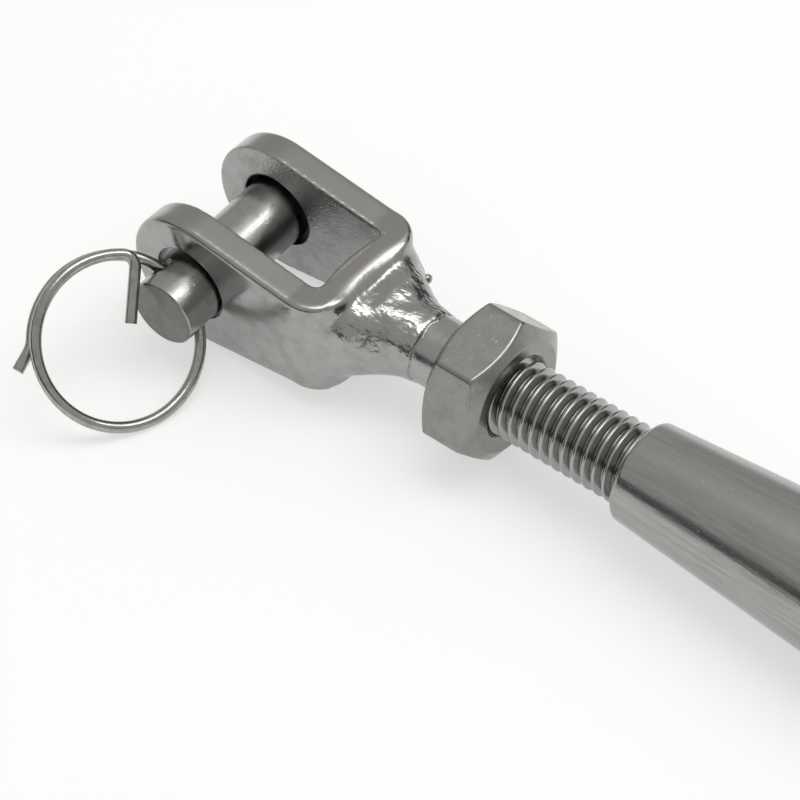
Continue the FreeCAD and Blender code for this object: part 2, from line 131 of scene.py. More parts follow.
def add_node(
    tree: bpy.types.NodeTree,
    kind: str,
    inputs: dict[int | str, object] | None = None,
    **settings: object,
) -> bpy.types.Node:
    """Add a node, set its properties and fill its inputs.

    Args:
        tree: The node tree that gets the node.
        kind: The node's type name.
        inputs: By input name or number: a value, a socket to link, or a node, to link its first output.
        settings: Properties of the node itself.

    Returns:
        The new node.
    """
    node = tree.nodes.new(kind)
    for name, value in settings.items():
        setattr(node, name, value)
    for name, value in (inputs or {}).items():
        source = value.outputs[0] if isinstance(value, bpy.types.Node) else value
        if isinstance(source, bpy.types.NodeSocket):
            tree.links.new(source, node.inputs[name])
        else:
            node.inputs[name].default_value = source
    return node


@dataclass(frozen=True)
class Bench:
    """Where a piece sits, so that patterns and meshes can be made in its own frame in millimetres."""

    place: Matrix

    def coordinates(self, tree: bpy.types.NodeTree) -> bpy.types.Node:
        """Object coordinates turned to millimetres in the piece's own frame.

        Args:
            tree: The material's tree.

        Returns:
            The node that gives the place.
        """
        back = self.place.inverted()
        spot = add_node(tree, "ShaderNodeTexCoord")
        return add_node(tree, "ShaderNodeMapping", {
            "Vector": spot.outputs["Object"],
            "Location": back.to_translation(),
            "Rotation": back.to_euler("XYZ"),
            "Scale": (1 / MM, 1 / MM, 1 / MM)})


@dataclass(frozen=True)
class Stretch:
    """A stretch of values that is mapped onto another one, and held at both of its ends."""

    low: float
    high: float
    bottom: float = 0.0
    top: float = 1.0

    def over(self, value: Source) -> dict[int | str, object]:
        """Inputs of the map range node that maps a value so."""
        return {"Value": value, "From Min": self.low, "From Max": self.high,
                "To Min": self.bottom, "To Max": self.top}


@dataclass(frozen=True)
class Relief:
    """One bump of a finish: its pattern, its depth in millimetres and its strength."""

    height: Source
    depth: float
    strength: float | Source


@dataclass(frozen=True)
class Grain:
    """One noise pattern, and the relief that it gives a surface.

    Feature is the size of its features along each axis and depth that of its relief, both in millimetres.
    Where only its peaks stand out, as specks and dings do, they are a stretch of its heights.
    """

    feature: Triple
    detail: float
    rough: float
    depth: float = 0.0
    strength: float = 0.5
    peaks: Stretch | None = None

    def add(self, tree: bpy.types.NodeTree, spot: Source) -> bpy.types.Node:
        """Add the pattern to a material.

        Args:
            tree: The material's tree.
            spot: The place in millimetres.

        Returns:
            The node that gives its height, from 0 to 1.
        """
        scaled = add_node(tree, "ShaderNodeMapping", {
            "Vector": spot, "Scale": tuple(1 / size for size in self.feature)})
        noisy = add_node(tree, "ShaderNodeTexNoise", {
            "Vector": scaled, "Scale": 1.0, "Detail": self.detail, "Roughness": self.rough})
        if self.peaks is None:
            return noisy
        return add_node(tree, "ShaderNodeMapRange", self.peaks.over(noisy), **EASED)

    def relief(self, height: Source) -> Relief:
        """Relief of the pattern, once it is added."""
        return Relief(height, self.depth, self.strength)


@dataclass(frozen=True)
class Look:
    """What a finish hands to the shader: colour, roughness and bumps, coarse ones first."""

    colour: Source
    roughness: Source
    reliefs: list[Relief]


@dataclass(frozen=True)
class Steel:
    """Stainless steel, 316, in one of its finishes.

    Its colour is the metal's own, a slightly warm grey, stained where the clouds run high; the thread
    paints shade into its roots the same way. Roughness is what the last tool left, and follows the same
    clouds. Finer layers lie on them as relief.
    """

    name: str
    clouds: Grain
    dirt_and_shade: Stretch
    roughness: Stretch
    layers: tuple[Grain, ...] = ()
    shade: str = "#A3A3A2"
    stain_and_shade: str = "#8E8D8A"

    def dress(self, bench: Bench) -> bpy.types.Material:
        """Build the finish as a material.

        Args:
            bench: Frame of the piece that wears it.

        Returns:
            The material.
        """
        material = bpy.data.materials.new(self.name)
        material.use_nodes = True
        tree = material.node_tree
        tree.nodes.clear()
        look = self.look(tree, bench.coordinates(tree))
        chained = {}
        for relief in look.reliefs:
            bump = {"Height": relief.height, "Distance": relief.depth * MM, "Strength": relief.strength}
            chained = {"Normal": add_node(tree, "ShaderNodeBump", {**bump, **chained})}
        metal = add_node(tree, "ShaderNodeBsdfPrincipled", {
            "Base Color": look.colour, "Roughness": look.roughness, "Metallic": 1.0, **chained})
        add_node(tree, "ShaderNodeOutputMaterial", {"Surface": metal})
        return material

    def look(self, tree: bpy.types.NodeTree, spot: Source) -> Look:
        """Lay the clouds and the finer layers.

        Args:
            tree: The material's tree.
            spot: The place in millimetres.

        Returns:
            Colour, roughness and bumps.
        """
        clouds = self.clouds.add(tree, spot)
        rough = add_node(tree, "ShaderNodeMapRange", self.roughness.over(clouds), **EASED)
        finer = [layer.relief(layer.add(tree, spot)) for layer in self.layers]
        return Look(self.tinted(tree, clouds), rough, [self.clouds.relief(clouds), *finer])

    def tinted(self, tree: bpy.types.NodeTree, pattern: Source) -> bpy.types.NodeSocket:
        """Colour between the clean and the stained metal; in the thread's roots, the painted shade.

        Args:
            tree: The material's tree.
            pattern: What the dirt follows; in the thread, the painted shade follows its roots.

        Returns:
            The colour.
        """
        share = add_node(tree, "ShaderNodeMapRange", self.dirt_and_shade.over(pattern), **EASED)
        return add_node(tree, "ShaderNodeMix", {
            SHARE: share, FIRST: linear(self.shade), SECOND: linear(self.stain_and_shade)},
            data_type="RGBA").outputs[MIXED]


@dataclass(frozen=True)
class TumbledForging(Steel):
    """Forged stainless steel, tumble polished: satin edges, painted a darker, warmer shade for how they
    take the light, bright outer faces and pebbled inner ones.

    Its stretches are places in the fork's frame, but for the slope at which a face turns to satin and its
    painted shade.
    """

    # To the eye: even satin on the band's edges, in a painted shade a little darker and warmer than the
    # rest, bright sides, pebbled inner faces and a mirror neck, crumpled by creases a millimetre apart.
    # Blasting grit of 0.05 mm is too fine to show, so it is drawn at 0.13 mm, and the tumbled pebbles at
    # 0.2 mm.
    name: str = "tumble_polished_forged_stainless_steel"
    clouds: Grain = Grain((2.6, 2.6, 2.6), 4.0, 0.6)
    dirt_and_shade: Stretch = Stretch(0.4, 0.72, 0.0, 0.65)
    roughness: Stretch = Stretch(0.3, 0.7, 0.12, 0.22)
    creases: Grain = Grain((0.9, 0.63, 0.9), 2.0, 0.45, depth=0.14)
    pebbles: Grain = Grain((0.2, 0.2, 0.2), 2.0, 0.5, depth=0.1)
    specks: Grain = Grain(
        (0.22, 0.22, 0.22), 1.0, 0.4, depth=0.012, strength=0.4, peaks=Stretch(0.66, 0.74))
    grit: Grain = Grain((0.13, 0.13, 0.13), 1.0, 0.5, depth=0.006)
    inner_side: Stretch = Stretch(6.2, 5.95)
    gap_end: Stretch = Stretch(17.75, 17.65)
    band_end: Stretch = Stretch(21.6, 20.6)
    neck_start: Stretch = Stretch(19.5, 22.5)
    edge_slope: Stretch = Stretch(0.8, 0.97)
    # Painted shade: the satin faces are darker and warmer for how they take the light; their roughness and
    # grit are the real satin.
    satin_painted_shade: str = "#989793"
    satin_rough: float = 0.25
    neck_rougher: float = 0.03
    inner_rougher: float = 0.06
    outer_pebbles: float = 0.1
    inner_pebbles: float = 0.85

    def look(self, tree: bpy.types.NodeTree, spot: Source) -> Look:
        """Lay satin, painted in a darker shade, on the edges, pebbles on the inner faces and creases on the
        neck.

        Args:
            tree: The material's tree.
            spot: The place in the fork's frame, in millimetres.

        Returns:
            Colour, roughness and bumps.
        """
        axes = add_node(tree, "ShaderNodeSeparateXYZ", {"Vector": spot})
        along = axes.outputs["X"]
        side = add_node(tree, "ShaderNodeMath", {0: axes.outputs["Y"]}, operation="ABSOLUTE")
        facing = add_node(tree, "ShaderNodeSeparateXYZ", {
            "Vector": add_node(tree, "ShaderNodeNewGeometry").outputs["Normal"]})
        upright = add_node(tree, "ShaderNodeMath", {0: facing.outputs["Z"]}, operation="ABSOLUTE")
        inside, before, band, edge, neck = (
            add_node(tree, "ShaderNodeMapRange", stretch.over(value), **EASED) for stretch, value in (
                (self.inner_side, side), (self.gap_end, along), (self.band_end, along),
                (self.edge_slope, upright), (self.neck_start, along)))
        inner = add_node(tree, "ShaderNodeMath", {0: inside, 1: before}, operation="MULTIPLY")
        satin_and_shade = add_node(tree, "ShaderNodeMath", {0: edge, 1: band}, operation="MULTIPLY")
        clouds = self.clouds.add(tree, spot)
        # Faces on the band that look up or down get the painted satin shade.
        colour = add_node(tree, "ShaderNodeMix", {
            SHARE: satin_and_shade, FIRST: self.tinted(tree, clouds), SECOND: linear(self.satin_painted_shade)},
            data_type="RGBA").outputs[MIXED]
        rough = add_node(tree, "ShaderNodeMapRange", self.roughness.over(clouds), **EASED)
        rough = add_node(tree, "ShaderNodeMath", {0: neck, 1: self.neck_rougher, 2: rough},
                         operation="MULTIPLY_ADD")
        rough = add_node(tree, "ShaderNodeMix", {"Factor": satin_and_shade, "A": rough, "B": self.satin_rough})
        rough = add_node(tree, "ShaderNodeMath", {0: inner, 1: self.inner_rougher, 2: rough},
                         operation="MULTIPLY_ADD")
        plain = add_node(tree, "ShaderNodeMath", {0: neck, 1: -self.outer_pebbles, 2: self.outer_pebbles},
                         operation="MULTIPLY_ADD")
        pebbled = add_node(tree, "ShaderNodeMath", {0: inner, 1: self.inner_pebbles, 2: plain},
                           operation="MULTIPLY_ADD")
        return Look(colour, rough, [
            Relief(self.creases.add(tree, spot), self.creases.depth, neck),
            Relief(self.pebbles.add(tree, spot), self.pebbles.depth, pebbled),
            self.specks.relief(self.specks.add(tree, spot)),
            Relief(self.grit.add(tree, spot), self.grit.depth, satin_and_shade)])


@dataclass(frozen=True)
class GroundTube(Steel):
    """Drawn stainless tube, ground and polished lengthwise, along X."""

    # To the eye: a soft bright tube whose reflections are drawn out into fine streaks along it. The belt's
    # own scratches are under 0.05 mm wide, too fine to show, so they are drawn 0.14 mm wide.
    name: str = "lengthwise_ground_stainless_tube"
    clouds: Grain = Grain((38.0, 0.5, 0.5), 4.0, 0.6, depth=0.03)
    dirt_and_shade: Stretch = Stretch(0.38, 0.66, 0.0, 0.6)
    roughness: Stretch = Stretch(0.3, 0.7, 0.16, 0.24)
    layers: tuple[Grain, ...] = (
        Grain((14.0, 0.14, 0.14), 2.0, 0.6, depth=0.008),
        Grain((0.3, 0.3, 0.3), 1.0, 0.4, depth=0.02, peaks=Stretch(0.68, 0.76)))


@dataclass(frozen=True)
class RolledThread(Steel):
    """Rolled stainless thread about X: bright crests and flanks, with painted shade in the roots."""

    # To the eye: a bright line on every crest, flat grey flanks and painted shade down in the roots, patchy
    # along the clouds. The dies' chatter is too fine to show, so it is drawn at 0.12 mm.
    name: str = "rolled_stainless_thread"
    # This darker colour and the stretch below paint shade into the thread's roots.
    stain_and_shade: str = "#7C7A76"
    clouds: Grain = Grain((1.8, 1.2, 1.2), 4.0, 0.6, depth=0.05)
    dirt_and_shade: Stretch = Stretch(0.1, 0.55)
    roughness: Stretch = Stretch(0.3, 0.7, 0.14, 0.26)
    chatter: Grain = Grain((0.12, 0.8, 0.8), 2.0, 0.5, depth=0.01, strength=0.6)
    root_reach: Stretch = Stretch(4.55, 4.05)
    across: Triple = (0.0, 1.0, 1.0)

    def look(self, tree: bpy.types.NodeTree, spot: Source) -> Look:
        """Paint shade where the thread is deep, patchy along the clouds.

        Args:
            tree: The material's tree.
            spot: The place in the stud's frame, in millimetres.

        Returns:
            Colour, roughness and bumps.
        """
        across = add_node(tree, "ShaderNodeVectorMath", {0: spot, 1: self.across}, operation="MULTIPLY")
        reach = add_node(tree, "ShaderNodeVectorMath", {0: across}, operation="LENGTH")
        deep = add_node(tree, "ShaderNodeMapRange", self.root_reach.over(reach.outputs["Value"]), **EASED)
        clouds = self.clouds.add(tree, spot)
        # Painted shade: darker where the thread is deep, patchy along the clouds.
        painted_root_shade = add_node(tree, "ShaderNodeMath", {0: deep, 1: clouds}, operation="MULTIPLY")
        rough = add_node(tree, "ShaderNodeMapRange", self.roughness.over(clouds), **EASED)
        return Look(self.tinted(tree, painted_root_shade), rough, [
            self.clouds.relief(clouds), self.chatter.relief(self.chatter.add(tree, spot))])


@dataclass(frozen=True)
class ColdFormedNut(Steel):
    """Cold formed stainless hexagon: even satin flats with small dings."""

    # To the eye: calm satin flats with a few dings, and a thin glint along each bevel. The speckle of the
    # pressed skin is finer than 0.1 mm, too fine to show, so it is drawn at 0.16 mm.
    name: str = "cold_formed_stainless_hexagon"
    shade: str = "#8F8F8C"
    stain_and_shade: str = "#7F7E7B"
    clouds: Grain = Grain((2.2, 2.2, 2.2), 4.0, 0.6, depth=0.06, strength=0.4)
    dirt_and_shade: Stretch = Stretch(0.4, 0.7, 0.0, 0.5)
    roughness: Stretch = Stretch(0.3, 0.7, 0.22, 0.3)
    layers: tuple[Grain, ...] = (
        Grain((0.55, 0.55, 0.55), 2.0, 0.5, depth=0.03, peaks=Stretch(0.66, 0.74)),
        Grain((0.16, 0.16, 0.16), 2.0, 0.5, depth=0.006, strength=0.6))


@dataclass(frozen=True)
class TurnedPin(Steel):
    """Turned stainless bar along Z: rings of the lathe tool on its end, and a polished, scuffed shaft."""

    # To the eye: one long highlight down a lightly scuffed shaft, and lathe rings on its dull end. A lathe
    # feeds about 0.1 mm a turn, too fine to show, so the rings are drawn 0.24 mm apart.
    name: str = "turned_stainless_bar"
    clouds: Grain = Grain((1.6, 1.6, 2.2), 4.0, 0.6, depth=0.05, strength=0.4)
    dirt_and_shade: Stretch = Stretch(0.42, 0.7, 0.0, 0.7)
    roughness: Stretch = Stretch(0.3, 0.7, 0.15, 0.27)
    layers: tuple[Grain, ...] = (
        Grain((2.0, 2.0, 0.12), 2.0, 0.5, depth=0.006),
        Grain((0.3, 0.3, 0.5), 2.0, 0.5, depth=0.02, peaks=Stretch(0.62, 0.74)))
    feed: float = 0.24
    ring_depth: float = 0.016
    end_place: Stretch = Stretch(-3.55, -3.65)
    end_shade: str = "#6C6B68"
    end_share: float = 0.84
    ring_share: float = 0.16
    end_rougher: float = 0.1

    def look(self, tree: bpy.types.NodeTree, spot: Source) -> Look:
        """Lay the tool's rings about the pin's axis, and dull its end.

        Args:
            tree: The material's tree.
            spot: The place in the pin's frame, in millimetres.

        Returns:
            Colour, roughness and bumps.
        """
        plain = super().look(tree, spot)
        axes = add_node(tree, "ShaderNodeSeparateXYZ", {"Vector": spot})
        flat = add_node(tree, "ShaderNodeCombineXYZ", {"X": axes.outputs["X"], "Y": axes.outputs["Y"]})
        reach = add_node(tree, "ShaderNodeVectorMath", {0: flat}, operation="LENGTH").outputs["Value"]
        turns = add_node(tree, "ShaderNodeMath", {0: reach, 1: math.tau / self.feed}, operation="MULTIPLY")
        rings = add_node(tree, "ShaderNodeMath", {0: turns}, operation="SINE")
        end = add_node(tree, "ShaderNodeMapRange", self.end_place.over(axes.outputs["Z"]), **EASED)
        share = add_node(tree, "ShaderNodeMath", {0: rings, 1: self.ring_share, 2: self.end_share},
                         operation="MULTIPLY_ADD")
        shaded = add_node(tree, "ShaderNodeMath", {0: end, 1: share}, operation="MULTIPLY")
        colour = add_node(tree, "ShaderNodeMix", {
            SHARE: shaded, FIRST: plain.colour, SECOND: linear(self.end_shade)},
            data_type="RGBA").outputs[MIXED]
        rough = add_node(tree, "ShaderNodeMath", {0: end, 1: self.end_rougher, 2: plain.roughness},
                         operation="MULTIPLY_ADD")
        first, *finer = plain.reliefs
        return Look(colour, rough, [first, Relief(rings, self.ring_depth, 1.0), *finer])


@dataclass(frozen=True)
class SpringWire(Steel):
    """Drawn stainless spring wire: bright, with faint marks of the die."""

    # To the eye: the sharpest highlight of all, a bright line along the wire between two dark ones. The
    # die's marks are too fine to show, so they are drawn at 0.25 mm.
    name: str = "drawn_stainless_spring_wire"
    shade: str = "#A9A9A6"
    stain_and_shade: str = "#8F8E8A"
    clouds: Grain = Grain((1.2, 1.2, 1.2), 4.0, 0.6, depth=0.03)
    dirt_and_shade: Stretch = Stretch(0.35, 0.7, 0.0, 0.8)
    roughness: Stretch = Stretch(0.3, 0.7, 0.09, 0.17)
    layers: tuple[Grain, ...] = (Grain((0.25, 0.25, 0.25), 2.0, 0.5, depth=0.006, strength=0.6),)


@dataclass(frozen=True)
class BrushedWeld(Steel):
    """Brushed stainless weld: a ragged bright ridge with dull spots."""

    # To the eye: a thin ragged seam that sparkles in places.
    name: str = "brushed_stainless_weld"
    clouds: Grain = Grain((0.45, 0.45, 0.45), 3.0, 0.6, depth=0.12, strength=0.8)
    dirt_and_shade: Stretch = Stretch(0.4, 0.6)
    roughness: Stretch = Stretch(0.35, 0.65, 0.14, 0.34)


def link(shape: bmesh.types.BMesh, name: str) -> bpy.types.Object:
    """Turn a shape into an object of the scene.

    Args:
        shape: The shape, which is freed.
        name: Name of the object and its mesh.

    Returns:
        The object.
    """
    mesh = bpy.data.meshes.new(name)
    shape.to_mesh(mesh)
    shape.free()
    piece = bpy.data.objects.new(name, mesh)
    bpy.context.scene.collection.objects.link(piece)
    return piece


def settle(shape: bmesh.types.BMesh, name: str, place: Matrix, sharp: float) -> bpy.types.Object:
    """Turn a shape in millimetres into a finished object at the origin, with its place in its mesh.

    Args:
        shape: The shape, which is freed.
        name: Name of the piece.
        place: Where the piece sits, in millimetres.
        sharp: Edges over this angle, in degrees, stay sharp.

    Returns:
        The object.
    """
    bmesh.ops.transform(shape, matrix=Matrix.Scale(MM, 4) @ place, verts=shape.verts)
    bmesh.ops.recalc_face_normals(shape, faces=shape.faces)
    for face in shape.faces:
        face.smooth = True
    for edge in shape.edges:
        edge.smooth = len(edge.link_faces) == 2 and edge.calc_face_angle(0.0) < math.radians(sharp)
    return link(shape, name)


def wear(piece: bpy.types.Object, material: bpy.types.Material) -> None:
    """Put one material on every face of a piece.

    Args:
        piece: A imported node, which has a slot already, or a new piece, which has none.
        material: What it wears.
    """
    if piece.material_slots:
        for slot in piece.material_slots:
            slot.material = material
    else:
        piece.data.materials.append(material)


def draw(shape: bmesh.types.BMesh, outline: list[tuple[float, float]], closed: bool = False) -> list:
    """Draw an outline over the screw's axis, ready to be spun.

    Args:
        shape: The mesh that gets it.
        outline: Place along the axis and radius of each point, in millimetres.
        closed: Whether its last point joins the first.

    Returns:
        Its points, then its edges.
    """
    chain = [shape.verts.new((along, 0.0, radius)) for along, radius in outline]
    following = [*chain[1:], chain[0]] if closed else chain[1:]
    return [*chain, *[shape.edges.new(pair) for pair in zip(chain, following)]]


@dataclass(frozen=True)
class CoarseThread:
    """M10 coarse thread: outline of one pitch and the turns that make it a helix."""

    pitch: float = 1.5
    crest: float = 4.95
    root: float = 4.04
    flank_angle: float = 60.0
    bend_reach: float = 0.12
    bend_depth: float = 0.055
    bend_middle: float = 0.55
    bend_middle_depth: float = 0.3
    flat_share: float = 0.14
    phase: float = 27.289
    reach: float = 102.0
    steps: int = 72
    joint_gap: float = 0.004
    rim_gap: float = 0.002

    def outline(self) -> list[tuple[float, float]]:
        """Outline of one pitch, with both bends of its flanks rounded.

        Returns:
            Place and radius of each point, from root to root.
        """
        wide, bend = self.bend_reach, self.bend_depth
        middle, shallow = wide * self.bend_middle, bend * self.bend_middle_depth
        lift = (self.crest - self.root - 2 * bend) / math.tan(math.radians(self.flank_angle))
        low, high = self.root + bend, self.crest - bend
        flank = [(wide + lift * share, low + (high - low) * share)
                 for share in (0.0, self.flat_share, 1 - self.flat_share, 1.0)]
        rise = [(middle, self.root + shallow), *flank, (wide + lift + wide - middle, self.crest - shallow)]
        fall = [(self.pitch - along, radius) for along, radius in reversed(rise)]
        return [(0.0, self.root), *rise, (self.pitch / 2, self.crest), *fall, (self.pitch, self.root)]

    def radius(self, along: float, turned: float, hand: Hand) -> float:
        """Radius of the thread at one place.

        Args:
            along: Place along the axis.
            turned: Angle from +Z towards -Y.
            hand: Which way the thread winds.

        Returns:
            The radius of its surface there.
        """
        place = (along - self.phase - hand.value * self.pitch * turned / math.tau) % self.pitch
        outline = self.outline()
        for (start, low), (end, high) in zip(outline, outline[1:]):
            if place <= end:
                return low + (high - low) * (place - start) / (end - start)
        return self.root

    def helix(self, hand: Hand) -> bmesh.types.BMesh:
        """Wind the outline into an open threaded surface about the screw's axis.

        Args:
            hand: Which way it winds.

        Returns:
            The surface, in millimetres.
        """
        shape = bmesh.new()
        line = draw(shape, [(self.phase + along, radius) for along, radius in self.outline()])
        bmesh.ops.spin(shape, geom=line, **ABOUT_SCREW, dvec=(self.pitch / self.steps, 0.0, 0.0),
                       angle=math.tau * hand.value, steps=self.steps, use_duplicate=False)
        first = [*shape.verts, *shape.edges, *shape.faces]
        for turn in range(1, math.ceil((self.reach - self.phase) / self.pitch)):
            copied = bmesh.ops.duplicate(shape, geom=first)["geom"]
            bmesh.ops.translate(shape, vec=(self.pitch * turn, 0.0, 0.0),
                                verts=[spot for spot in copied if isinstance(spot, bmesh.types.BMVert)])
        bmesh.ops.remove_doubles(shape, verts=shape.verts, dist=self.joint_gap)
        return shape

    def rod(
        self, hand: Hand, start: float, end: float, limits: Callable[[float, float], float],
    ) -> bmesh.types.BMesh:
        """Closed threaded rod between two places.

        Args:
            hand: Which way the thread winds.
            start: Where the rod starts.
            end: Where it ends.
            limits: Function from a place and a radius to the radius the rod has there.

        Returns:
            The closed rod, in millimetres.
        """
        shape = self.helix(hand)
        for spot in shape.verts:
            radius = math.hypot(spot.co.y, spot.co.z)
            share = limits(spot.co.x, radius) / radius
            spot.co.y, spot.co.z = spot.co.y * share, spot.co.z * share
        for place, normal in ((start, -1.0), (end, 1.0)):
            everything = [*shape.verts, *shape.edges, *shape.faces]
            bmesh.ops.bisect_plane(shape, geom=everything, dist=SAME_POINT, plane_co=(place, 0.0, 0.0),
                                   plane_no=(normal, 0.0, 0.0), clear_outer=True)
            rim = [edge for edge in shape.edges if edge.is_boundary
                   and all(abs(spot.co.x - place) < self.rim_gap for spot in edge.verts)]
            bmesh.ops.contextual_create(shape, geom=rim)
        bmesh.ops.recalc_face_normals(shape, faces=shape.faces)
        return shape


@dataclass(frozen=True)
class HexagonNut:
    """Hexagon nut about the screw's axis: rounded corners and bevels, countersunk threaded hole."""

    start: float = 34.3
    height: float = 8.0
    flats: float = 17.0
    sector: float = 60.0
    land: float = 14.6
    bevel: float = 32.0
    corner_round: float = 0.5
    bevel_round: float = 0.32
    bevel_depth: float = 2.0
    hole: float = 4.2
    countersink: float = 5.6
    thread_gap: float = 0.06
    lip_inset: float = 0.12
    ring_inset: float = 0.5
    ring_gap: float = 0.1
    ring_steps: int = 4
    bevel_steps: int = 23
    flat_steps: int = 8
    bore_steps: int = 81
    steps: int = 288

    def outside(self, along: float, turned: float) -> float:
        """Radius of the outside, where the nearer flat or the bevel's cone is closer to the axis.

        Args:
            along: Place along the axis.
            turned: Angle from the middle of a flat.

        Returns:
            The radius.
        """
        sector = math.radians(self.sector)
        within = turned % sector
        flat = soft_least(self.flats / 2 / math.cos(within), self.flats / 2 / math.cos(within - sector),
                          self.corner_round)
        inward = min(along - self.start, self.start + self.height - along)
        cone = self.land / 2 + inward / math.tan(math.radians(self.bevel))
        return soft_least(flat, cone, self.bevel_round) if inward > 0 else self.land / 2

    def inside(self, along: float, turned: float, thread: CoarseThread, hand: Hand) -> float:
        """Radius of the hole: its thread, or the countersink where that is wider.

        Args:
            along: Place along the axis.
            turned: Angle from +Z towards -Y.
            thread: The thread in the hole.
            hand: Which way it winds.

        Returns:
            The radius.
        """
        inward = min(along - self.start, self.start + self.height - along)
        wound = thread.radius(along, turned, hand) + self.thread_gap
        return max(wound, self.hole, self.countersink - inward)

    def section(self) -> list[tuple[float, float, NutRule]]:
        """Closed outline that the nut is spun from.

        Returns:
            Place, radius and rule of each point, round the outside and back through the hole.
        """
        start, end, lip = self.start, self.start + self.height, self.land / 2
        near = spread(start, start + self.bevel_depth, self.bevel_steps)
        far = spread(end - self.bevel_depth, end, self.bevel_steps)
        skin = [*near, *spread(near[-1], far[0], self.flat_steps)[1:-1], *far]
        rings = [lip - self.lip_inset,
                 *spread(lip - self.ring_inset, self.countersink + self.ring_gap, self.ring_steps)]
        return [*((along, lip, NutRule.HEXAGON) for along in skin),
                *((end, radius, NutRule.END_FACE) for radius in rings),
                *((along, self.countersink, NutRule.HOLE) for along in spread(end, start, self.bore_steps)),
                *((start, radius, NutRule.END_FACE) for radius in reversed(rings))]

    def build(self, thread: CoarseThread, hand: Hand, spin: float) -> bmesh.types.BMesh:
        """Spin the section and shape each of its points.

        Args:
            thread: The thread in the hole.
            hand: Which way it winds.
            spin: How far the hexagon is turned about its axis, in radians.

        Returns:
            The nut, in millimetres.
        """
        section = self.section()
        shape = bmesh.new()
        rules = shape.verts.layers.int.new("rule")
        loop = draw(shape, [(along, radius) for along, radius, _ in section], closed=True)
        for spot, (_, _, rule) in zip(loop, section):
            spot[rules] = rule
        bmesh.ops.spin(shape, geom=loop, **ABOUT_SCREW, angle=math.tau, steps=self.steps,
                       use_merge=True, use_duplicate=False)
        for spot in shape.verts:
            if spot[rules] == NutRule.END_FACE:
                continue
            turned = math.atan2(-spot.co.y, spot.co.z)
            if spot[rules] == NutRule.HEXAGON:
                radius = self.outside(spot.co.x, turned - spin)
            else:
                radius = self.inside(spot.co.x, turned, thread, hand)
            spot.co.y, spot.co.z = -radius * math.sin(turned), radius * math.cos(turned)
        return shape


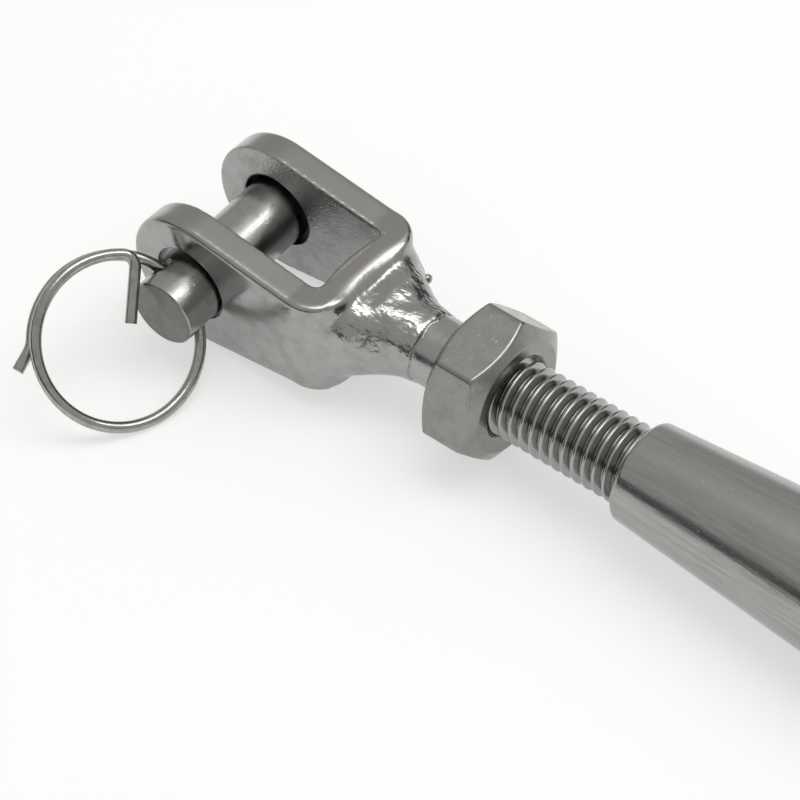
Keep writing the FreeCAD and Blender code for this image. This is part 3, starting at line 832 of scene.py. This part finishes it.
@dataclass(frozen=True)
class ForgedSkin:
    """Skin of the forging: softened edges, a neck that runs into the band, and the waves of the dies.

    Places are in the fork's frame, X along the screw from the pin.
    """

    cell: float = 0.21
    scoop_place: float = 21.1
    scoop_depth: float = 1.0
    scoop_reach: float = 1.9
    scoop_fade: float = 2.4
    scoop_side: float = 6.0
    scoop_top: float = 7.1
    scoop_rise: float = 1.5
    scoop_fall: float = 0.5
    scoop_lift: float = 2.0
    even_share: float = 0.5
    all_passes: int = 3
    root_from: float = 19.975
    root_to: float = 22.6
    root_passes: int = 26
    neck_from: float = 21.85
    neck_passes: int = 14
    wave_from: float = 20.6
    wave_rise: float = 2.0
    seam_fade: float = 1.5
    belly: float = 4.5
    belly_fade: float = 3.0
    swell: float = 0.3
    swell_size: float = 2.7
    ripple: float = 0.03
    ripple_size: float = 1.2
    ripple_shift: Triple = (7.0, 3.0, 1.0)
    sag: float = 0.03
    sag_size: float = 5.0

    def build(self, node: bpy.types.Object, place: Matrix) -> bmesh.types.BMesh:
        """Cover the forging with an even mesh and shape it.

        Args:
            node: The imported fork.
            place: Where its frame sits, in millimetres.

        Returns:
            The skin in the fork's frame, in millimetres.
        """
        shape = bmesh.new()
        shape.from_mesh(node.data)
        back = place.inverted() @ Matrix.Scale(1 / MM, 4) @ node.matrix_world
        bmesh.ops.transform(shape, matrix=back, verts=shape.verts)
        bmesh.ops.remove_doubles(shape, verts=shape.verts, dist=SAME_POINT)
        cover = link(shape, "forging_cover")
        even = cover.modifiers.new("even", "REMESH")
        even.mode, even.voxel_size, even.adaptivity = "VOXEL", self.cell, 0.0
        bpy.context.view_layer.update()
        graph = bpy.context.evaluated_depsgraph_get()
        meshes = (cover.data, bpy.data.meshes.new_from_object(cover.evaluated_get(graph)))
        shape = bmesh.new()
        shape.from_mesh(meshes[1])
        bpy.data.objects.remove(cover)
        for mesh in meshes:
            bpy.data.meshes.remove(mesh)
        self.scoop(shape)
        self.soften(shape)
        self.wave(shape)
        return shape

    def scoop(self, shape: bmesh.types.BMesh) -> None:
        """Roll off the bridge's upper rim in its middle, where the neck runs up into the band.

        Args:
            shape: The skin.
        """
        for spot in shape.verts:
            middle = 1 - (spot.co.y / self.scoop_side) ** 2
            if spot.co.z < 0 or middle < 0:
                continue
            along = held((spot.co.x - self.scoop_place + self.scoop_reach) / self.scoop_reach)
            fade = held((self.scoop_place + self.scoop_fade - spot.co.x) / self.scoop_fade)
            height = held(spot.co.z / self.scoop_top)
            spot.co.z -= (self.scoop_depth * middle * along ** self.scoop_rise * fade ** self.scoop_fall
                          * height ** self.scoop_lift)

    def soften(self, shape: bmesh.types.BMesh) -> None:
        """Round every edge a little, then the root of the neck and the neck itself more.

        Args:
            shape: The skin.
        """
        self.smooth(shape, list(shape.verts), self.all_passes)
        root = [spot for spot in shape.verts if self.root_from < spot.co.x < self.root_to]
        neck = [spot for spot in shape.verts if spot.co.x > self.neck_from]
        self.smooth(shape, root, self.root_passes)
        self.smooth(shape, neck, self.neck_passes)

    def smooth(self, shape: bmesh.types.BMesh, spots: list[bmesh.types.BMVert], passes: int) -> None:
        """Smooth some points.

        Args:
            shape: The skin.
            spots: The points.
            passes: How many times each moves towards its neighbours.
        """
        for _ in range(passes):
            bmesh.ops.smooth_vert(shape, verts=spots, factor=self.even_share, use_axis_x=True,
                                  use_axis_y=True, use_axis_z=True)

    def wave(self, shape: bmesh.types.BMesh) -> None:
        """Move the surface in and out: swells on the neck above its belly, a slight sag everywhere.

        Args:
            shape: The skin.
        """
        shape.normal_update()
        moves = []
        for spot in shape.verts:
            share = held((spot.co.x - self.wave_from) / self.wave_rise)
            share *= held((SEAM_PLACE - spot.co.x) / self.seam_fade)
            share *= held((spot.co.z + self.belly) / self.belly_fade)
            swell = noise.noise(spot.co / self.swell_size) * self.swell
            ripple = noise.noise(spot.co / self.ripple_size + Vector(self.ripple_shift)) * self.ripple
            sag = -self.sag * abs(noise.noise(spot.co / self.sag_size))
            moves.append(spot.normal * (sag + share * (swell + ripple - 0.5 * self.ripple)))
        for spot, move in zip(shape.verts, moves):
            spot.co += move


@dataclass(frozen=True)
class WeldSeam:
    """Ragged bead where the neck is welded to the stud. Rates are in waves per millimetre."""

    outline: tuple[tuple[float, float], ...] = (
        (-0.3, 4.36), (-0.17, 4.49), (-0.05, 4.53), (0.07, 4.52), (0.17, 4.46), (0.26, 4.34))
    steps: int = 240
    drift: float = 0.35
    drift_rate: float = 0.7
    lump: float = 0.016
    lump_rate: float = 1.7

    def build(self) -> bmesh.types.BMesh:
        """Spin the bead and make it ragged.

        Returns:
            The bead in the fork's frame, in millimetres.
        """
        shape = bmesh.new()
        line = draw(shape, [(SEAM_PLACE + along, radius) for along, radius in self.outline])
        bmesh.ops.spin(shape, geom=line, **ABOUT_SCREW, angle=math.tau, steps=self.steps,
                       use_merge=True, use_duplicate=False)
        bmesh.ops.remove_doubles(shape, verts=shape.verts, dist=SAME_POINT)
        for spot in shape.verts:
            drift = noise.noise(Vector((0.0, spot.co.y, spot.co.z)) * self.drift_rate)
            share = 1 + self.lump * noise.noise(spot.co * self.lump_rate)
            spot.co.x += self.drift * drift
            spot.co.y, spot.co.z = spot.co.y * share, spot.co.z * share
        return shape


@dataclass(frozen=True)
class ForgingPip:
    """Small round pip that the forging left on the neck."""

    place: Triple = (23.05, 7.1, 1.7)
    radius: float = 0.62
    lump: float = 0.12
    lump_rate: float = 2.2
    subdivisions: int = 4

    def build(self) -> bmesh.types.BMesh:
        """Make a lumpy ball.

        Returns:
            The pip in the fork's frame, in millimetres.
        """
        shape = bmesh.new()
        bmesh.ops.create_icosphere(shape, subdivisions=self.subdivisions, radius=self.radius)
        for spot in shape.verts:
            spot.co *= 1 + self.lump * noise.noise(spot.co * self.lump_rate)
        bmesh.ops.transform(shape, verts=shape.verts, matrix=Matrix.Translation(self.place))
        return shape


@dataclass(frozen=True)
class ScrewEnd:
    """One end of the adjuster: fork, stud, locknut, clevis pin and split ring.

    Its turn is in radians. A crease is the angle over which a piece's edges stay sharp.
    """

    prefix: str
    turn: float
    hand: Hand
    pip: ForgingPip | None = None
    pin_span: float = 250.0
    pin_drop: float = 0.25
    pin_lean: float = 2.2
    pin_turn: float = 45.0
    hole_reach: float = 11.85
    shank_radius: float = 4.45
    thread_start: float = 33.5
    run_out: float = 1.4
    stud_end: float = 100.0
    end_radius: float = 4.15
    nut_turn: float = 12.0
    stud_crease: float = 55.0
    nut_crease: float = 70.0
    no_crease: float = 180.0
    thread: CoarseThread = CoarseThread()
    nut: HexagonNut = HexagonNut()
    skin: ForgedSkin = ForgedSkin()
    seam: WeldSeam = WeldSeam()

    @property
    def place(self) -> Matrix:
        """Where the fork's frame sits in the adjuster's."""
        return Matrix.Rotation(self.turn, 4, "Z") @ Matrix.Translation((-self.pin_span / 2, 0.0, 0.0))

    @property
    def pin_place(self) -> Matrix:
        """Where the pin's frame sits, its Z axis along the pin and X along its cross hole.

        Returns:
            The placement, in millimetres.
        """
        lying = (Matrix.Rotation(math.radians(self.pin_lean), 4, "Z")
                 @ Matrix.Rotation(math.radians(self.pin_turn), 4, "Y")
                 @ Matrix.Rotation(math.radians(-90.0), 4, "X"))
        return (self.place @ Matrix.Translation((0.0, 0.0, -self.pin_drop)) @ lying
                @ Matrix.Translation((0.0, 0.0, -self.hole_reach)))

    def build(self) -> None:
        """Make and dress every piece of this end."""
        self.dress_nodes()
        self.forging()
        self.stud()
        self.locknut()
        self.extra(self.seam.build(), "weld_bead")
        if self.pip:
            self.extra(self.pip.build(), "forging_pip")

    def dress_nodes(self) -> None:
        """Give the pin and the ring their finishes."""
        for node, finish in (("clevis_pin", TurnedPin()), ("split_ring", SpringWire())):
            name = f"{self.prefix}_{node}"
            wear(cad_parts[name], finish.dress(Bench(self.pin_place)))
            LOG.info("dressed %s", name)

    def forging(self) -> None:
        """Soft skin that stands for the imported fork."""
        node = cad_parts[f"{self.prefix}_fork_head"]
        shape = self.skin.build(node, self.place)
        piece = self.dressed(shape, "forging", TumbledForging(), self.no_crease)
        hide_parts(f"{self.prefix}_fork_head")
        self.mount(piece, "screw")

    def stud(self) -> None:
        """Rolled stud: plain shank, thread that runs out into it and a bevelled inner end."""
        shape = self.thread.rod(self.hand, SEAM_PLACE, self.stud_end, self.stud_radius)
        piece = self.dressed(shape, "rolled_stud", RolledThread(), self.stud_crease)
        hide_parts(f"{self.prefix}_threaded_stud")
        self.mount(piece, "screw")

    def stud_radius(self, along: float, radius: float) -> float:
        """Radius of the stud, between its shank's, its thread's and its bevel's.

        Args:
            along: Place along the axis.
            radius: The thread's radius there.

        Returns:
            The stud's radius.
        """
        share = held((along - self.thread_start) / self.run_out)
        radius = self.shank_radius + (radius - self.shank_radius) * share
        return min(radius, self.end_radius + self.stud_end - along)

    def locknut(self) -> None:
        """Locknut with its real corners, bevels and thread."""
        shape = self.nut.build(self.thread, self.hand, math.radians(self.nut_turn))
        piece = self.dressed(shape, "hexagon_nut", ColdFormedNut(), self.nut_crease)
        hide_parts(f"{self.prefix}_locknut")
        self.mount(piece, "nut")

    def extra(self, shape: bmesh.types.BMesh, name: str) -> None:
        """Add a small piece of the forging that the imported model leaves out.

        Args:
            shape: The piece in the fork's frame, in millimetres.
            name: Its name after the prefix.
        """
        self.mount(self.dressed(shape, name, BrushedWeld(), self.no_crease), "screw")

    def dressed(
        self, shape: bmesh.types.BMesh, name: str, finish: Steel, crease: float,
    ) -> bpy.types.Object:
        """Settle a shape on this end and give it its finish.

        Args:
            shape: The piece in the fork's frame, in millimetres.
            name: Its name after the prefix.
            finish: What it wears.
            crease: Edges over this angle, in degrees, stay sharp.

        Returns:
            The piece.
        """
        piece = settle(shape, f"{self.prefix}_{name}", self.place, crease)
        wear(piece, finish.dress(Bench(self.place)))
        return piece

    def mount(self, piece: bpy.types.Object, body: str) -> None:
        """Let a piece ride on one of this end's bodies, and log it.

        Args:
            piece: The finished piece.
            body: The body's name after the prefix.
        """
        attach(piece, f"{self.prefix}_{body}")
        LOG.info("%s: %d faces", piece.name, len(piece.data.polygons))


@dataclass(frozen=True)
class Barrel:
    """The closed body between the two ends."""

    finish: Steel = GroundTube()

    def build(self) -> None:
        """Give the body its finish."""
        wear(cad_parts["body_tube"], self.finish.dress(Bench(Matrix.Identity(4))))
        LOG.info("dressed body_tube")


@dataclass(frozen=True)
class Studio:
    """Pale table, soft sky and one softbox, with the camera where the photographer stood.

    The softbox, the table and the camera's clips are in metres.
    """

    camera_place: Triple = (71.2975, -193.0168, 274.9340)
    camera_turn: Triple = (41.9122, 1.7430, 39.7877)
    focal_length: float = 143.762
    sensor_width: float = 36.0
    near_clip: float = 0.01
    far_clip: float = 10.0
    softbox_far: Triple = (0.37, 0.53, 0.76)
    softbox_near: Triple = (-0.17, -0.12, 0.98)
    softbox_distance: float = 0.8
    softbox_length: float = 0.84
    softbox_width: float = 0.42
    softbox_power: float = 2.6
    softbox_shade: str = "#FFFEFB"
    glint_power: float = 9.6
    sky_low: str = "#C4C4C4"
    sky_high: str = "#CAC9C6"
    sky_rise: Stretch = Stretch(0.0, 0.8)
    horizon: str = "#505050"
    horizon_toward: Triple = (-0.36, -0.93, 0.0)
    horizon_side: Stretch = Stretch(0.35, 0.75)
    horizon_top: Stretch = Stretch(0.38, 0.2)
    horizon_foot: Stretch = Stretch(-0.12, 0.0)
    backdrop: str = "#4C4C4C"
    backdrop_toward: Triple = (0.15, 0.98, 0.12)
    backdrop_side: Stretch = Stretch(0.87, 0.95)
    table_shade: str = "#C4C4C4"
    table_glow: float = 0.52
    table_reach: float = 2.5
    table_gap: float = 0.0001

    def build(self) -> None:
        """Set up floor, light and camera."""
        self.floor()
        self.sky()
        self.softbox()
        self.camera()
        bpy.context.scene.view_settings.view_transform = "Standard"

    def floor(self) -> None:
        """Plain pale light table at the lowest point of the adjuster, which keeps the shadows soft."""
        shape = bmesh.new()
        bmesh.ops.create_grid(shape, x_segments=1, y_segments=1, size=self.table_reach)
        bmesh.ops.translate(shape, verts=shape.verts, vec=(0.0, 0.0, CAD_BOX[0].z - self.table_gap))
        table = link(shape, "table")
        board = bpy.data.materials.new("matt_white_board")
        board.use_nodes = True
        tree = board.node_tree
        tree.nodes.clear()
        coat = add_node(tree, "ShaderNodeBsdfDiffuse", {"Color": linear(self.table_shade)})
        glow = add_node(tree, "ShaderNodeEmission", {"Strength": self.table_glow})
        both = add_node(tree, "ShaderNodeAddShader", {0: coat, 1: glow})
        add_node(tree, "ShaderNodeOutputMaterial", {"Surface": both})
        wear(table, board)

    def sky(self) -> None:
        """Even grey surround, with a dark strip low on the photographer's left and a dark patch behind."""
        world = bpy.data.worlds.new("surround")
        bpy.context.scene.world = world
        world.use_nodes = True
        tree = world.node_tree
        tree.nodes.clear()
        spot = add_node(tree, "ShaderNodeTexCoord").outputs["Generated"]
        height = add_node(tree, "ShaderNodeSeparateXYZ", {"Vector": spot}).outputs["Z"]
        facing = [add_node(tree, "ShaderNodeVectorMath", {0: spot, 1: toward}, operation="DOT_PRODUCT")
                  for toward in (self.horizon_toward, self.backdrop_toward)]
        front, behind = (node.outputs["Value"] for node in facing)
        rise, side, under, over, back = (
            add_node(tree, "ShaderNodeMapRange", stretch.over(value), **EASED) for stretch, value in (
                (self.sky_rise, height), (self.horizon_side, front), (self.horizon_top, height),
                (self.horizon_foot, height), (self.backdrop_side, behind)))
        strip = add_node(tree, "ShaderNodeMath", {0: side, 1: under}, operation="MULTIPLY")
        strip = add_node(tree, "ShaderNodeMath", {0: strip, 1: over}, operation="MULTIPLY")
        tone = linear(self.sky_low)
        for share, shade in ((rise, self.sky_high), (strip, self.horizon), (back, self.backdrop)):
            tone = add_node(tree, "ShaderNodeMix", {SHARE: share, FIRST: tone, SECOND: linear(shade)},
                            data_type="RGBA").outputs[MIXED]
        glow = add_node(tree, "ShaderNodeBackground", {"Color": tone})
        add_node(tree, "ShaderNodeOutputWorld", {"Surface": glow})

    def softbox(self) -> None:
        """Long softbox from above the far side to overhead, and its glint, which only metal takes up."""
        far, near = Vector(self.softbox_far).normalized(), Vector(self.softbox_near).normalized()
        away = (far + near).normalized()
        across = away.cross(far - near).normalized()
        turn = Matrix((across.cross(away), across, away)).transposed()
        for name, power in (("softbox", self.softbox_power), ("softbox_glint", self.glint_power)):
            lamp = bpy.data.lights.new(name, "AREA")
            lamp.shape, lamp.size, lamp.size_y = "RECTANGLE", self.softbox_length, self.softbox_width
            lamp.energy, lamp.color = power, linear(self.softbox_shade)[:3]
            box = bpy.data.objects.new(name, lamp)
            box.location, box.rotation_euler = away * self.softbox_distance, turn.to_euler()
            box.visible_diffuse = name == "softbox"
            bpy.context.scene.collection.objects.link(box)

    def camera(self) -> None:
        """Camera that was fitted to the photograph."""
        lens = bpy.data.cameras.new("camera")
        lens.lens, lens.sensor_width = self.focal_length, self.sensor_width
        lens.clip_start, lens.clip_end = self.near_clip, self.far_clip
        camera = bpy.data.objects.new("camera", lens)
        camera.location = Vector(self.camera_place) * MM
        camera.rotation_euler = tuple(math.radians(angle) for angle in self.camera_turn)
        bpy.context.scene.collection.objects.link(camera)
        bpy.context.scene.camera = camera


def main() -> None:
    """Build the adjuster and its studio."""
    logging.basicConfig(level=logging.INFO, format="%(name)s: %(message)s")
    Barrel().build()
    ScrewEnd("near", 0.0, Hand.RIGHT, pip=ForgingPip()).build()
    ScrewEnd("far", math.pi, Hand.LEFT).build()
    Studio().build()


if __name__ == "__main__":
    main()
